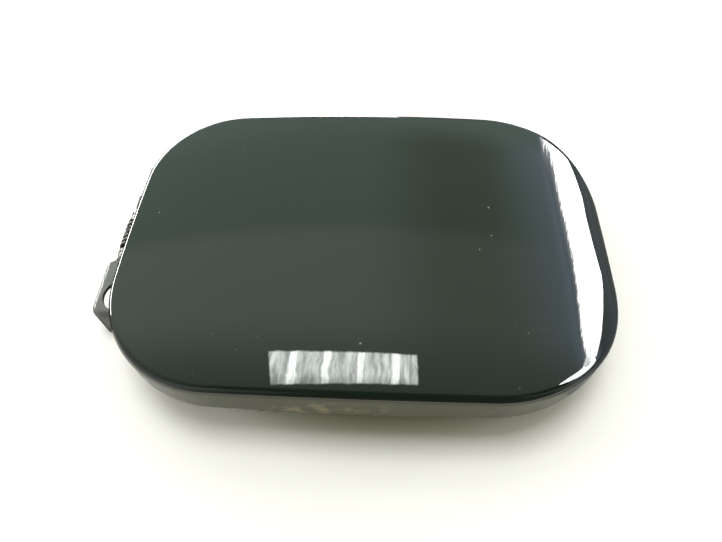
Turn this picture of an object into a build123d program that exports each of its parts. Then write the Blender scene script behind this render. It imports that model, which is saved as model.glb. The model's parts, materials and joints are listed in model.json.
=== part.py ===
"""Car fuel door: a painted steel lid on a sprung gooseneck hinge, lying face up.

Frame: millimetres, +Z out of the painted face, +X from the hinge towards the striker, hinge pin along Y.
The origin is midway between the two bolt holes, on the upper face of the hinge base's lugs.
"""

import os
from math import acos, atan2, cos, degrees, hypot, pi, radians, sin, tan

from build123d import *

os.makedirs("parts", exist_ok=True)

# Door skin
door_length = 170.0
door_width = 118.8
front_left_radius = 41.3
front_right_radius = 46.9
back_right_radius = 41.9
back_left_radius = 34.7
right_bow = 1.2
front_bow = 2.7
left_bow = 1.7
back_bow = 0.1
skin_thickness = 0.8
wall_depth = 15.5
edge_radius = 2.2
crown_radius_x = 900.0
crown_radius_y = 1500.0
roll_radius = 38.0
roll_width = 20.0
roll_end_angle = 50.0
hem_width = 9.0
hem_bend_radius = 1.0

# Where the door sits from the bolt holes
door_left_x = 3.4
door_centre_y = -11.6
hem_lift = 4.5

# Inner panel
inner_thickness = 0.8
rim_gap = 0.15
field_rise = 6.7
field_inset = 13.0
field_draft = 35.0
field_edge_radius = 2.4
bead_length = 76.0
bead_width = 9.0
bead_height = 2.0
bead_draft = 30.0
bead_spacing = 62.0
bead_centre_x = 11.0
window_length = 46.0
window_width = 24.0
drain_radius = 3.0
drain_spread_x = 104.0
drain_spread_y = 68.0

# Hinge base
sheet = 1.5
base_height = 14.0
base_right_x = 8.2
ear_left_x = -7.2
knuckle_radius = 4.6
lug_left_x = -11.4
back_lug_left_x = -7.3
lug_shoulder = 2.5
lug_end_y = 39.0
lug_corner_radius = 5.0
lug_edge_radius = 2.2
lug_lip = 4.0
fold_radius = 1.0
fold_run = 6.0
bolt_hole_radius = 6.5
bolt_offset_x = 1.8
bolt_offset_y = 30.0

# Hinge pin, bushes and clip
pin_x = -6.3
pin_z = -6.5
pin_radius = 2.5
pin_head_radius = 3.9
pin_head_height = 1.8
pin_chamfer = 0.6
pin_tail = 3.0
press_clearance = 0.03
running_clearance = 0.06
bush_wall = 0.9
bush_flange_radius = 4.5
bush_flange = 1.2
bush_proud = 0.4
side_play = 0.3
clip_radius = 4.1
clip_thickness = 0.8
clip_opening = 110.0
clip_gap = 0.05
groove_depth = 0.5

# Hinge arm
arm_width = 17.6
arm_sheet = 1.6
arm_end_radius = 4.8
neck_clearance = 3.1
neck_depth = 10.5
belly_run = 7.0
belly_rise = 4.0
fork_x = 1.2
neck_past_step = 0.8
rise_run = 6.0
cheek_run = 6.5
arm_bend_radius = 3.0
arm_foot_width = 34.0
arm_foot_length = 27.0
arm_foot_corner = 5.0
arm_foot_setback = 4.0
arm_rivet_from_rise = 11.5
arm_rivet_pitch_x = 11.0
arm_rivet_pitch_y = 20.0

# Torsion spring
wire_radius = 0.8
coil_radius = 4.3
coil_turns = 5
coil_end_gap = 0.15
leg_length = 10.0
leg_gap = 0.05

# Striker
striker_inset = 24.0
striker_sheet = 1.6
striker_width = 18.0
striker_flange = 21.0
striker_corner = 3.0
striker_fold_radius = 2.4
eye_length = 10.0
eye_width = 8.0
eye_corner = 2.5
eye_above_tip = 10.0
striker_rivet_from_tongue = 12.0
striker_rivet_pitch = 10.0

# Rivets
rivet_radius = 1.9
rivet_head_radius = 3.4
rivet_head_height = 1.3
rivet_crown_radius = 2.2
rivet_tail_radius = 2.9
rivet_tail_height = 0.8
rivet_clearance = 0.05

# Rubber bumpers
bumper_x = -31.5
bumper_inset = 5.9
bumper_radius = 5.2
bumper_height = 5.6
bumper_stem_radius = 2.4
bumper_barb_radius = 3.1
bumper_barb_height = 2.2
bumper_barb_draft = 25.0
bumper_hole_clearance = 0.1
bumper_edge_radius = 1.0

# Anti-flutter pads between skin and inner panel
pad_radius = 5.0
pad_clearance = 1.2
pad_gap = 0.05

# Working room: how far cuts and tools run past the faces that they open, and the margin for picking edges
cut_past = 1.0
clear_cut = 40.0
crown_overrun = 12.0
pick_margin = 0.1

# Derived places
door_centre_x = door_left_x + door_length / 2
door_right_x = door_left_x + door_length
half_width = door_width / 2
crown_z = hem_lift + wall_depth
roll_start_x = door_right_x - roll_width
rim_z = hem_lift + skin_thickness
field_z = rim_z + field_rise
floor_z = -base_height
foot_top_z = floor_z + sheet
neck_top_z = hem_lift - neck_clearance
web_under_z = neck_top_z - arm_sheet
arm_half = arm_width / 2
ear_inner_y = arm_half + bush_flange + side_play
ear_outer_y = ear_inner_y + sheet
lug_start_y = ear_outer_y + fold_radius + sheet
bush_radius = pin_radius + running_clearance + bush_wall
striker_x = door_right_x - striker_inset
neck_right_x = door_left_x + field_inset + neck_past_step
rise_right_x = neck_right_x + rise_run
arm_foot_right_x = rise_right_x + arm_foot_length
arm_rivet_x = rise_right_x + arm_rivet_from_rise
groove_y = ear_outer_y + clip_gap
door_plane = Plane(origin=(door_centre_x, door_centre_y, 0))


def door_face(inset):
    """Plan outline of the door with its bowed sides and rounded corners, drawn in by inset."""
    half_x = door_length / 2 - inset
    half_y = half_width - inset
    flat_x = 1 - (2 * half_x / door_length) ** 2
    flat_y = 1 - (half_y / half_width) ** 2
    left, right = -half_x - left_bow * flat_y, half_x + right_bow * flat_y
    front, back = -half_y - front_bow * flat_x, half_y + back_bow * flat_x
    with BuildSketch() as face:
        with BuildLine():
            ThreePointArc((left, front), (0, -half_y - front_bow), (right, front))
            ThreePointArc((right, front), (half_x + right_bow, 0), (right, back))
            ThreePointArc((right, back), (0, half_y + back_bow), (left, back))
            ThreePointArc((left, back), (-half_x - left_bow, 0), (left, front))
        make_face()
        for corner, radius in (
            ((left, front), front_left_radius),
            ((right, front), front_right_radius),
            ((right, back), back_right_radius),
            ((left, back), back_left_radius),
        ):
            fillet(face.vertices().sort_by_distance(corner)[0], radius - inset)
    return face.sketch


def crowned_block(inset, bottom_z, top_edge_radius):
    """Solid under the crowned face, drawn in by inset from the outside on all sides but the bottom."""
    radius = crown_radius_x - inset
    roll = roll_radius - inset
    centre_z = crown_z - crown_radius_x
    tilt = (roll_start_x - door_centre_x) / crown_radius_x
    start = -(door_length / 2 + crown_overrun) / crown_radius_x
    roll_x = door_centre_x + (crown_radius_x - roll_radius) * sin(tilt)
    roll_z = centre_z + (crown_radius_x - roll_radius) * cos(tilt)
    last = radians(roll_end_angle)

    def on_crown(angle):
        return (door_centre_x + radius * sin(angle), centre_z + radius * cos(angle))

    def on_roll(angle):
        return (roll_x + roll * sin(angle), roll_z + roll * cos(angle))

    base_z = crown_z - clear_cut
    with BuildPart() as crown:
        with BuildSketch(Plane(origin=(0, door_centre_y, 0), x_dir=(1, 0, 0), z_dir=(0, -1, 0))):
            with BuildLine():
                ThreePointArc(on_crown(start), on_crown((start + tilt) / 2), on_crown(tilt))
                ThreePointArc(on_roll(tilt), on_roll((tilt + last) / 2), on_roll(last))
                Polyline(
                    on_roll(last),
                    (on_roll(last)[0], base_z),
                    (on_crown(start)[0], base_z),
                    on_crown(start),
                )
            make_face()
        revolve(axis=Axis((0, door_centre_y, crown_z - crown_radius_y), (1, 0, 0)))
    with BuildPart() as block:
        with BuildSketch(door_plane.offset(bottom_z)):
            add(door_face(inset))
        extrude(amount=crown_z + crown_overrun - bottom_z)
        add(crown.part, mode=Mode.INTERSECT)
        # The seam between crown and roll lies across X, so it stays unrounded.
        rim = [
            edge
            for edge in block.edges()
            if edge.bounding_box().min.Z > bottom_z + pick_margin
            and edge.bounding_box().size.X > pick_margin
        ]
        fillet(rim, top_edge_radius)
    return block.part


def sheet_inset(draft):
    """How much smaller the underside of a pressed step is than its top, for an even sheet."""
    return inner_thickness / cos(radians(draft)) - inner_thickness * tan(radians(draft))


def rivet(place, grip_low, grip_high):
    """A headed rivet along Z that clamps everything between two heights."""
    with BuildPart() as body:
        with BuildSketch(Plane(origin=(place[0], place[1], 0), x_dir=(1, 0, 0), z_dir=(0, -1, 0))):
            with BuildLine():
                Polyline(
                    (0, grip_low - rivet_head_height),
                    (rivet_crown_radius, grip_low - rivet_head_height),
                    (rivet_head_radius, grip_low - rivet_head_height / 2),
                    (rivet_head_radius, grip_low),
                    (rivet_radius, grip_low),
                    (rivet_radius, grip_high),
                    (rivet_tail_radius, grip_high),
                    (rivet_tail_radius, grip_high + rivet_tail_height),
                    (0, grip_high + rivet_tail_height),
                    close=True,
                )
            make_face()
        revolve(axis=Axis((place[0], place[1], 0), (0, 0, 1)))
    return body.part


arm_rivet_places = [
    (arm_rivet_x + dx * arm_rivet_pitch_x, dy * arm_rivet_pitch_y / 2) for dx in (0, 1) for dy in (-1, 1)
]
striker_rivet_places = [
    (striker_x - striker_rivet_from_tongue, door_centre_y + dy * striker_rivet_pitch / 2) for dy in (-1, 1)
]
bumper_places = {
    "front": (door_centre_x + bumper_x, door_centre_y - half_width + bumper_inset - front_bow / 2),
    "back": (door_centre_x + bumper_x, door_centre_y + half_width - bumper_inset),
}

# Outer panel: crowned skin, side wall and turned-in hem, all one sheet.
skin_cavity = crowned_block(skin_thickness, rim_z, edge_radius - skin_thickness)
with BuildPart() as outer_panel:
    add(crowned_block(0, hem_lift, edge_radius))
    fillet(outer_panel.faces().sort_by(Axis.Z)[0].outer_wire().edges(), hem_bend_radius)
    add(skin_cavity, mode=Mode.SUBTRACT)
    with BuildSketch(door_plane.offset(hem_lift - cut_past)):
        add(door_face(hem_width))
    extrude(amount=skin_thickness + 2 * cut_past, mode=Mode.SUBTRACT)
    for place in bumper_places.values():
        with BuildSketch(Plane(origin=(*place, hem_lift - cut_past))):
            Circle(bumper_stem_radius + bumper_hole_clearance)
        extrude(amount=skin_thickness + 2 * cut_past, mode=Mode.SUBTRACT)
outer_panel.part.label = "outer_panel"
export_step(outer_panel.part, "parts/outer_panel.step")

# Inner panel: rim on the hem, drafted step up to a beaded field with a window and drain holes.
field_run = field_rise * tan(radians(field_draft))
under_inset = field_inset + sheet_inset(field_draft)
with BuildPart() as field_under:
    with BuildSketch(door_plane.offset(rim_z)):
        add(door_face(under_inset))
    with BuildSketch(door_plane.offset(field_z)):
        add(door_face(under_inset + field_run))
    loft(ruled=True)
    fillet(field_under.faces().sort_by(Axis.Z)[-1].outer_wire().edges(), field_edge_radius - inner_thickness)
with BuildPart() as field_over:
    with BuildSketch(door_plane.offset(rim_z + inner_thickness)):
        add(door_face(field_inset))
    with BuildSketch(door_plane.offset(field_z + inner_thickness)):
        add(door_face(field_inset + field_run))
    loft(ruled=True)
    fillet(field_over.faces().sort_by(Axis.Z)[-1].outer_wire().edges(), field_edge_radius)
with BuildPart() as inner_panel:
    with BuildSketch(door_plane.offset(rim_z)):
        add(door_face(skin_thickness + rim_gap))
    extrude(amount=inner_thickness)
    add(field_over.part)
    bead_plane = door_plane.offset(field_z)
    with BuildSketch(bead_plane.offset(inner_thickness)):
        with Locations((bead_centre_x, -bead_spacing / 2), (bead_centre_x, bead_spacing / 2)):
            SlotOverall(bead_length, bead_width)
    extrude(amount=bead_height, taper=bead_draft)
    add(field_under.part, mode=Mode.SUBTRACT)
    bead_shrink = 2 * sheet_inset(bead_draft)
    with BuildSketch(bead_plane):
        with Locations((bead_centre_x, -bead_spacing / 2), (bead_centre_x, bead_spacing / 2)):
            SlotOverall(bead_length - bead_shrink, bead_width - bead_shrink)
    extrude(amount=bead_height, taper=bead_draft, mode=Mode.SUBTRACT)
    with BuildSketch(bead_plane.offset(-cut_past)):
        with Locations((bead_centre_x, 0)):
            SlotOverall(window_length, window_width)
        with GridLocations(drain_spread_x, drain_spread_y, 2, 2):
            Circle(drain_radius)
    extrude(amount=inner_thickness + 2 * cut_past, mode=Mode.SUBTRACT)
    for place in arm_rivet_places + striker_rivet_places:
        with BuildSketch(Plane(origin=(*place, field_z - cut_past))):
            Circle(rivet_radius + rivet_clearance)
        extrude(amount=inner_thickness + 2 * cut_past, mode=Mode.SUBTRACT)
    for place in bumper_places.values():
        with BuildSketch(Plane(origin=(*place, rim_z - cut_past))):
            Circle(bumper_stem_radius + bumper_hole_clearance)
        extrude(amount=inner_thickness + 2 * cut_past, mode=Mode.SUBTRACT)
inner_panel.part.label = "inner_panel"
export_step(inner_panel.part, "parts/inner_panel.step")

# Hinge base: one sheet folded into two walled lugs, two ears with round knuckles and a foot.
with BuildPart() as hinge_base:
    with BuildSketch(Plane(origin=(ear_left_x, 0, 0), x_dir=(0, 1, 0), z_dir=(1, 0, 0))):
        with BuildLine() as fold:
            FilletPolyline(
                (-ear_outer_y - fold_run, -sheet / 2),
                (-ear_outer_y + sheet / 2, -sheet / 2),
                (-ear_outer_y + sheet / 2, floor_z + sheet / 2),
                (ear_outer_y - sheet / 2, floor_z + sheet / 2),
                (ear_outer_y - sheet / 2, -sheet / 2),
                (ear_outer_y + fold_run, -sheet / 2),
                radius=fold_radius + sheet / 2,
            )
        trace(line_width=sheet)
    extrude(amount=base_right_x - ear_left_x)
    for ear_y in (-ear_inner_y, ear_outer_y):
        with BuildSketch(Plane(origin=(pin_x, ear_y, pin_z), x_dir=(1, 0, 0), z_dir=(0, -1, 0))):
            Circle(knuckle_radius)
        extrude(amount=sheet)
    with BuildSketch(Plane(origin=(pin_x, 0, pin_z), x_dir=(1, 0, 0), z_dir=(0, -1, 0))):
        Circle(pin_radius + press_clearance)
    extrude(amount=2 * ear_outer_y, both=True, mode=Mode.SUBTRACT)
    for side in (-1, 1):
        left_x = lug_left_x if side < 0 else back_lug_left_x
        with BuildPart(mode=Mode.PRIVATE) as lug:
            with BuildSketch(Plane.XY.offset(floor_z)) as plan:
                with BuildLine():
                    Polyline(
                        (ear_left_x, side * lug_start_y),
                        (left_x, side * (lug_start_y + lug_shoulder)),
                        (left_x, side * lug_end_y),
                        (base_right_x, side * lug_end_y),
                        (base_right_x, side * lug_start_y),
                        close=True,
                    )
                make_face()
                fillet(plan.vertices().sort_by_distance((left_x, side * lug_end_y))[0], lug_corner_radius)
            extrude(amount=base_height)
            top = lug.faces().sort_by(Axis.Z)[-1]
            bent = [
                edge
                for edge in top.outer_wire().edges()
                if abs(edge.center().Y) > lug_start_y + lug_shoulder and edge.center().X < base_right_x - pick_margin
            ]
            fillet(bent, lug_edge_radius)
            with BuildSketch(Plane.XY.offset(floor_z)) as hollow:
                with BuildLine():
                    Polyline(
                        (left_x + sheet, 0),
                        (left_x + sheet, side * (lug_end_y - sheet)),
                        (base_right_x + cut_past, side * (lug_end_y - sheet)),
                        (base_right_x + cut_past, 0),
                        close=True,
                    )
                make_face()
                inner_corner = (left_x + sheet, side * (lug_end_y - sheet))
                fillet(hollow.vertices().sort_by_distance(inner_corner)[0], lug_corner_radius - sheet)
            extrude(amount=base_height - sheet, mode=Mode.SUBTRACT)
            with BuildSketch(Plane.XY.offset(floor_z)):
                with Locations((left_x, 0)):
                    Rectangle(2 * (sheet + cut_past), 2 * (lug_end_y - lug_corner_radius))
            extrude(amount=base_height - lug_lip, mode=Mode.SUBTRACT)
        add(lug.part)
    with BuildSketch(Plane.XY.offset(-sheet - cut_past)):
        with Locations((-bolt_offset_x, -bolt_offset_y), (bolt_offset_x, bolt_offset_y)):
            Circle(bolt_hole_radius)
    extrude(amount=sheet + 2 * cut_past, mode=Mode.SUBTRACT)
hinge_base.part.label = "hinge_base"
export_step(hinge_base.part, "parts/hinge_base.step")

# Hinge arm: folded gooseneck, two cheeks at the pin and a riveted foot under the inner panel.
with BuildPart() as hinge_arm:
    side_plane = Plane(origin=(0, arm_half, 0), x_dir=(1, 0, 0), z_dir=(0, -1, 0))
    with BuildSketch(side_plane) as side:
        with BuildLine():
            Polyline(
                (pin_x, pin_z + arm_end_radius),
                (fork_x, neck_top_z),
                (neck_right_x, neck_top_z),
                (rise_right_x, field_z),
                (rise_right_x + cheek_run, field_z),
                (rise_right_x + cheek_run, field_z - arm_sheet),
                (neck_right_x + belly_run, neck_top_z - neck_depth + belly_rise),
                (neck_right_x, neck_top_z - neck_depth),
                (pin_x, pin_z - arm_end_radius),
                close=True,
            )
        make_face()
        inside = [
            vertex
            for vertex in side.vertices()
            if vertex.X > fork_x + pick_margin and vertex.X < rise_right_x + cheek_run - pick_margin
        ]
        fillet(inside, arm_bend_radius)
        with Locations((pin_x, pin_z)):
            Circle(arm_end_radius)
    extrude(amount=arm_width)
    with BuildSketch(Plane(origin=(0, arm_half - arm_sheet, 0), x_dir=(1, 0, 0), z_dir=(0, -1, 0))) as room:
        bend_shift = arm_sheet * tan(atan2(field_z - neck_top_z, rise_run) / 2)
        with BuildLine():
            Polyline(
                (fork_x, web_under_z - clear_cut),
                (fork_x, web_under_z),
                (neck_right_x + bend_shift, web_under_z),
                (rise_right_x + bend_shift, field_z - arm_sheet),
                (rise_right_x + clear_cut, field_z - arm_sheet),
                (rise_right_x + clear_cut, web_under_z - clear_cut),
                close=True,
            )
        make_face()
        bends = [
            vertex
            for vertex in room.vertices()
            if fork_x + pick_margin < vertex.X < rise_right_x + cheek_run
            and vertex.Y > web_under_z - pick_margin
        ]
        fillet(bends, arm_bend_radius)
        with Locations((fork_x - clear_cut / 2, 0)):
            Rectangle(clear_cut, 2 * clear_cut)
    extrude(amount=arm_width - 2 * arm_sheet, mode=Mode.SUBTRACT)
    with BuildSketch(Plane.XY.offset(field_z - arm_sheet)) as foot:
        with Locations(((rise_right_x + arm_foot_setback + arm_foot_right_x) / 2, 0)):
            Rectangle(arm_foot_length - arm_foot_setback, arm_foot_width)
        fillet(foot.vertices(), arm_foot_corner)
        with Locations((rise_right_x + arm_foot_setback, 0)):
            Rectangle(2 * arm_foot_setback, arm_width - arm_sheet)
    extrude(amount=arm_sheet)
    with BuildSketch(Plane(origin=(pin_x, 0, pin_z), x_dir=(1, 0, 0), z_dir=(0, -1, 0))):
        Circle(bush_radius + press_clearance)
    extrude(amount=arm_width, both=True, mode=Mode.SUBTRACT)
    for place in arm_rivet_places:
        with BuildSketch(Plane(origin=(*place, field_z - 2 * arm_sheet))):
            Circle(rivet_radius + rivet_clearance)
        extrude(amount=3 * arm_sheet, mode=Mode.SUBTRACT)
hinge_arm.part.label = "hinge_arm"
export_step(hinge_arm.part, "parts/hinge_arm.step")

# Rivets that hold the arm's foot and the striker's flange to the inner panel.
with BuildPart() as arm_rivets:
    for place in arm_rivet_places:
        add(rivet(place, field_z - arm_sheet, field_z + inner_thickness))
arm_rivets.part.label = "arm_rivets"
export_step(arm_rivets.part, "parts/arm_rivets.step")

with BuildPart() as striker_rivets:
    for place in striker_rivet_places:
        add(rivet(place, field_z - striker_sheet, field_z + inner_thickness))
striker_rivets.part.label = "striker_rivets"
export_step(striker_rivets.part, "parts/striker_rivets.step")

# Hinge pin with a turned head and a clip groove.
with BuildPart() as hinge_pin:
    with BuildSketch(Plane(origin=(pin_x, 0, pin_z), x_dir=(1, 0, 0), z_dir=(0, 0, 1))):
        with BuildLine():
            Polyline(
                (0, -ear_outer_y - pin_head_height),
                (pin_head_radius - pin_chamfer, -ear_outer_y - pin_head_height),
                (pin_head_radius, -ear_outer_y - pin_head_height + pin_chamfer),
                (pin_head_radius, -ear_outer_y),
                (pin_radius, -ear_outer_y),
                (pin_radius, groove_y),
                (pin_radius - groove_depth, groove_y),
                (pin_radius - groove_depth, groove_y + clip_thickness + 2 * clip_gap),
                (pin_radius, groove_y + clip_thickness + 2 * clip_gap),
                (pin_radius, ear_outer_y + pin_tail - pin_chamfer),
                (pin_radius - pin_chamfer, ear_outer_y + pin_tail),
                (0, ear_outer_y + pin_tail),
                close=True,
            )
        make_face()
    revolve(axis=Axis((pin_x, 0, pin_z), (0, 1, 0)))
hinge_pin.part.label = "hinge_pin"
export_step(hinge_pin.part, "parts/hinge_pin.step")

with BuildPart() as pin_clip:
    with BuildSketch(Plane(origin=(pin_x, groove_y + clip_gap, pin_z), x_dir=(1, 0, 0), z_dir=(0, 1, 0))):
        Circle(clip_radius)
        Circle(pin_radius - groove_depth + press_clearance, mode=Mode.SUBTRACT)
        with BuildLine():
            spread = radians(clip_opening / 2)
            Polyline(
                (0, 0),
                (3 * clip_radius * sin(spread), 3 * clip_radius * cos(spread)),
                (0, 5 * clip_radius),
                (-3 * clip_radius * sin(spread), 3 * clip_radius * cos(spread)),
                close=True,
            )
        make_face(mode=Mode.SUBTRACT)
    extrude(amount=clip_thickness)
pin_clip.part.label = "pin_clip"
export_step(pin_clip.part, "parts/pin_clip.step")

# Flanged bushes in the arm's cheeks.
for name, side in (("bush_front", -1), ("bush_back", 1)):
    with BuildPart() as bush:
        with BuildSketch(Plane(origin=(pin_x, 0, pin_z), x_dir=(1, 0, 0), z_dir=(0, 0, 1))):
            with BuildLine():
                Polyline(
                    (pin_radius + running_clearance, side * (arm_half - arm_sheet - bush_proud)),
                    (bush_radius, side * (arm_half - arm_sheet - bush_proud)),
                    (bush_radius, side * arm_half),
                    (bush_flange_radius, side * arm_half),
                    (bush_flange_radius, side * (arm_half + bush_flange)),
                    (pin_radius + running_clearance, side * (arm_half + bush_flange)),
                    close=True,
                )
            make_face()
        revolve(axis=Axis((pin_x, 0, pin_z), (0, 1, 0)))
    bush.part.label = name
    export_step(bush.part, f"parts/{name}.step")

# Torsion spring: upper leg under the arm's web, lower leg on the base's foot.
reach = hypot(coil_radius, leg_length)
swing = atan2(leg_length, coil_radius)
upper_tilt = swing - acos((web_under_z - wire_radius - leg_gap - pin_z) / reach)
lower_tilt = swing - acos((pin_z - foot_top_z - wire_radius - leg_gap) / reach)
coil_angle = 360 * coil_turns + 180 - degrees(upper_tilt) - degrees(lower_tilt)
coil_room = arm_width - 2 * (arm_sheet + coil_end_gap + wire_radius)
coil_length = coil_room / (1 + 360 * leg_length / (coil_angle * pi * coil_radius))
coil_pitch = 360 * coil_length / coil_angle
coil_plane = Plane(origin=(pin_x, coil_length / 2, pin_z), x_dir=(1, 0, 0), z_dir=(0, -1, 0))
with BuildPart() as coil:
    with BuildLine() as path:
        helix = Helix(coil_pitch, coil_length, coil_radius)
    for at, direction in ((0, -1), (1, 1)):
        with BuildSketch(Plane(origin=helix @ at, z_dir=(helix % at) * direction)):
            Circle(wire_radius)
        extrude(amount=leg_length)
    with BuildSketch(Plane(origin=helix @ 0, z_dir=helix % 0)):
        Circle(wire_radius)
    sweep(path=helix)
with BuildPart() as torsion_spring:
    turned = Rot(0, 0, 90 + degrees(upper_tilt)) * coil.part
    add(coil_plane.location * turned)
torsion_spring.part.label = "torsion_spring"
export_step(torsion_spring.part, "parts/torsion_spring.step")

# Striker: flange under the inner panel and a tongue with an eye for the lock plunger.
with BuildPart() as striker:
    tongue = Plane(origin=(striker_x, door_centre_y, 0), x_dir=(1, 0, 0), z_dir=(0, -1, 0))
    with BuildSketch(tongue) as bracket:
        with BuildLine():
            Polyline(
                (-striker_flange, field_z),
                (0, field_z),
                (0, floor_z),
                (-striker_sheet, floor_z),
                (-striker_sheet, field_z - striker_sheet),
                (-striker_flange, field_z - striker_sheet),
                close=True,
            )
        make_face()
        fillet(bracket.vertices().group_by(Axis.Y)[-1].sort_by(Axis.X)[-1], striker_fold_radius)
    extrude(amount=striker_width / 2, both=True)
    tips = striker.edges().filter_by(Axis.X).sort_by(Axis.Z)[:2]
    fillet(tips, striker_corner)
    ends = striker.edges().filter_by(Axis.Z).sort_by(Axis.X)[:2]
    fillet(ends, striker_corner)
    eye_plane = Plane(origin=(striker_x + cut_past, door_centre_y, floor_z), x_dir=(0, 1, 0), z_dir=(1, 0, 0))
    with BuildSketch(eye_plane):
        with Locations((0, eye_above_tip)):
            RectangleRounded(eye_width, eye_length, eye_corner)
    extrude(amount=-striker_sheet - 2 * cut_past, mode=Mode.SUBTRACT)
    for place in striker_rivet_places:
        with BuildSketch(Plane(origin=(*place, field_z - 2 * striker_sheet))):
            Circle(rivet_radius + rivet_clearance)
        extrude(amount=3 * striker_sheet, mode=Mode.SUBTRACT)
striker.part.label = "striker"
export_step(striker.part, "parts/striker.step")

# Rubber bumpers pushed through the hem.
for name, place in bumper_places.items():
    with BuildPart() as bumper:
        with BuildSketch(Plane(origin=(*place, hem_lift))):
            Circle(bumper_radius)
        extrude(amount=-bumper_height)
        fillet(bumper.faces().sort_by(Axis.Z)[0].edges(), bumper_edge_radius)
        with BuildSketch(Plane(origin=(*place, hem_lift))):
            Circle(bumper_stem_radius)
        extrude(amount=skin_thickness + inner_thickness)
        with BuildSketch(Plane(origin=(*place, rim_z + inner_thickness))):
            Circle(bumper_barb_radius)
        extrude(amount=bumper_barb_height, taper=bumper_barb_draft)
    bumper.part.label = f"bumper_{name}"
    export_step(bumper.part, f"parts/bumper_{name}.step")

# Soft pads that fill the gap between the skin and the inner panel's field, between window and beads.
pad_left_x = arm_foot_right_x + pad_clearance + pad_radius
pad_right_x = striker_x - striker_rivet_from_tongue - pad_radius
pad_y = (window_width + bead_spacing - bead_width) / 4
with BuildPart() as flutter_pads:
    with BuildSketch(Plane.XY.offset(field_z + inner_thickness + pad_gap)):
        for pad_x in (pad_left_x, pad_right_x):
            with Locations((pad_x, door_centre_y - pad_y), (pad_x, door_centre_y + pad_y)):
                Circle(pad_radius)
    extrude(amount=crown_z)
    add(crowned_block(skin_thickness + pad_gap, rim_z, edge_radius - skin_thickness), mode=Mode.INTERSECT)
flutter_pads.part.label = "flutter_pads"
export_step(flutter_pads.part, "parts/flutter_pads.step")
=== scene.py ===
"""Looks of a car fuel door: a gloss painted skin on a sprung hinge, lying face up on a white table.

All sizes are metres in the part's own frame: +Z out of the painted face, +X from the hinge to the striker.
"""

import json

import bpy
import numpy as np
from mathutils import Matrix, Vector


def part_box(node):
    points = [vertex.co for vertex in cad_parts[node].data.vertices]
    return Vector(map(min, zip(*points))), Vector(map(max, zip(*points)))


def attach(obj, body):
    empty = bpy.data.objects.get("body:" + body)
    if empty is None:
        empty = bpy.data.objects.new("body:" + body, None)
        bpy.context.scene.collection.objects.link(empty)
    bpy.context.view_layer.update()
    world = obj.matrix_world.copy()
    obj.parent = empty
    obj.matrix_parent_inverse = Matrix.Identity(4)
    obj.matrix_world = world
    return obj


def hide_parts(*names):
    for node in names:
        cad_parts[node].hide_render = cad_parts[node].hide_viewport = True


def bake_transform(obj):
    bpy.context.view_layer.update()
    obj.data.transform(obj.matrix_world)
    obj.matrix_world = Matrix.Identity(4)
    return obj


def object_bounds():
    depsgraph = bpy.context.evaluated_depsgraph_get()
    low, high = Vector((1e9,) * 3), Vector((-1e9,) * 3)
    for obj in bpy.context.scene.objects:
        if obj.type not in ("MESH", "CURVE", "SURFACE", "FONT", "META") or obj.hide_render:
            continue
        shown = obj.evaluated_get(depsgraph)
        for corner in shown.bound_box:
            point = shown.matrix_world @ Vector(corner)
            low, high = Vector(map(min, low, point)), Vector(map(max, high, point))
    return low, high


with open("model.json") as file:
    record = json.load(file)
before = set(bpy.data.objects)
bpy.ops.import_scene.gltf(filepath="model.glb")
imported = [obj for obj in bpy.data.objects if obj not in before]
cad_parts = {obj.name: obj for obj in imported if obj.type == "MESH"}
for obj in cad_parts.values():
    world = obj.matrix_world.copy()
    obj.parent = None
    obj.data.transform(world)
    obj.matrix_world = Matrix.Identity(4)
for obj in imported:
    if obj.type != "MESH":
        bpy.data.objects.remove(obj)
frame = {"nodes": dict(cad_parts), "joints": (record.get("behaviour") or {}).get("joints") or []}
cad_box = [list(corner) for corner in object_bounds()]

bl_info = {
    "name": "Sprung Fuel Door",
    "version": (1, 0, 0),
    "blender": (4, 5, 0),
    "location": "View3D > Sidebar > Fuel Door",
    "description": "Dresses a car fuel door with paint, metal, rubber and a small white studio",
    "category": "Object",
}

PICTURE_WIDTH = 722
SENSOR_WIDTH = 36.0
NEAREST_VIEW = 0.01
SHARP_ANGLE = np.radians(38)
WHITE = (1.0, 1.0, 1.0, 1.0)


def length(name, description, default):
    """A size in metres that a user may change."""
    return bpy.props.FloatProperty(
        name=name, description=description, default=default, unit="LENGTH", precision=5
    )


def turn(name, description, degrees):
    """An angle that a user may change, given in degrees and kept in radians."""
    return bpy.props.FloatProperty(
        name=name, description=description, default=np.radians(degrees), subtype="ANGLE"
    )


def tint(name, description, default):
    """A linear colour that a user may change."""
    return bpy.props.FloatVectorProperty(
        name=name, description=description, default=default, subtype="COLOR", size=3, min=0, max=1
    )


def level(name, description, default):
    """A plain number that a user may change."""
    return bpy.props.FloatProperty(name=name, description=description, default=default)


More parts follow.
